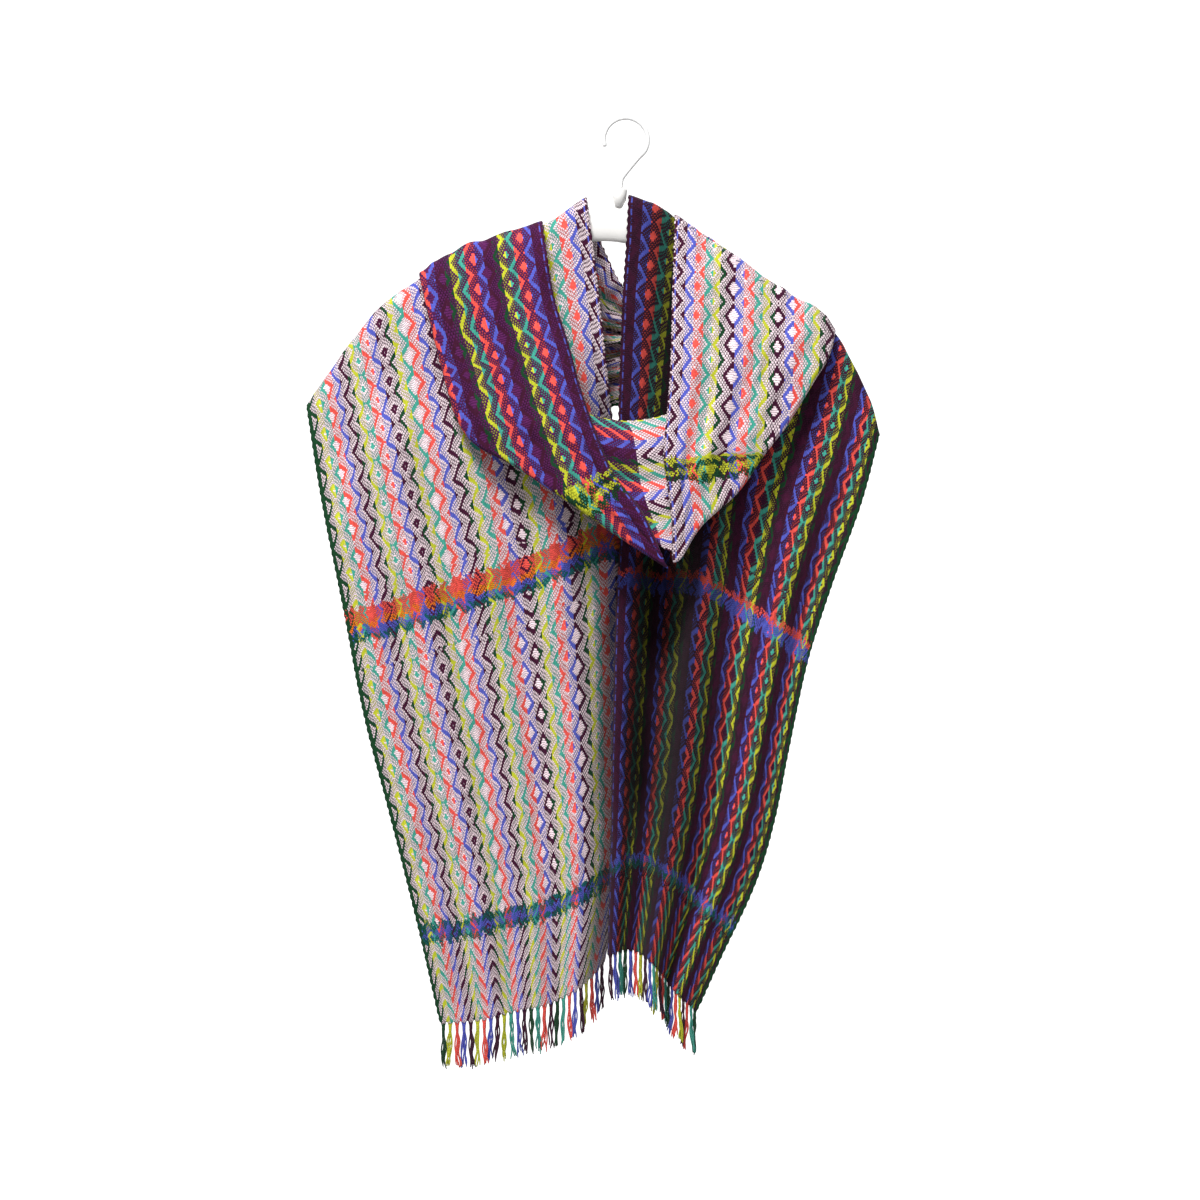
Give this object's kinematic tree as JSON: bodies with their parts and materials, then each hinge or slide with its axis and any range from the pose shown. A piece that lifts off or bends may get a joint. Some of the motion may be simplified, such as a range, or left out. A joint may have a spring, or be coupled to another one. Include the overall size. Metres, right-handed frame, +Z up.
{
  "type": "scarf on hanger",
  "caption": "Long handwoven fringed scarf draped over the arms of a hanger and looped once at the front, both ends hanging down.",
  "frame": {"origin": "inside top of the hanger's hook, where the rail carries it", "axes": "+Z up, along the length of the hanging scarf; the front of the scarf faces -Y; +X to the right as seen from the front"},
  "size_m": [0.5188, 0.1382, 0.8591],
  "materials": {
    "cloth_pale": "matte woven, pale pink weft over many-coloured warp",
    "cloth_dark": "matte woven, deep purple weft over many-coloured warp",
    "fringe_yarn": "soft yarn ends in the warp's colours",
    "hanger_plastic": "white moulded, satin gloss",
    "hook_wire": "white coated wire, glossy"
  },
  "bodies": {
    "root": {"tail_left": "cloth_pale", "tail_right": "cloth_dark", "loop_left": "cloth_dark", "loop_right": "cloth_pale", "loop_front": "cloth_dark", "back_pale": "cloth_pale", "back_dark": "cloth_dark", "fringe_left": "fringe_yarn", "fringe_right": "fringe_yarn", "hanger_body": "hanger_plastic", "hanger_hook": "hook_wire"}
  },
  "joints": []
}
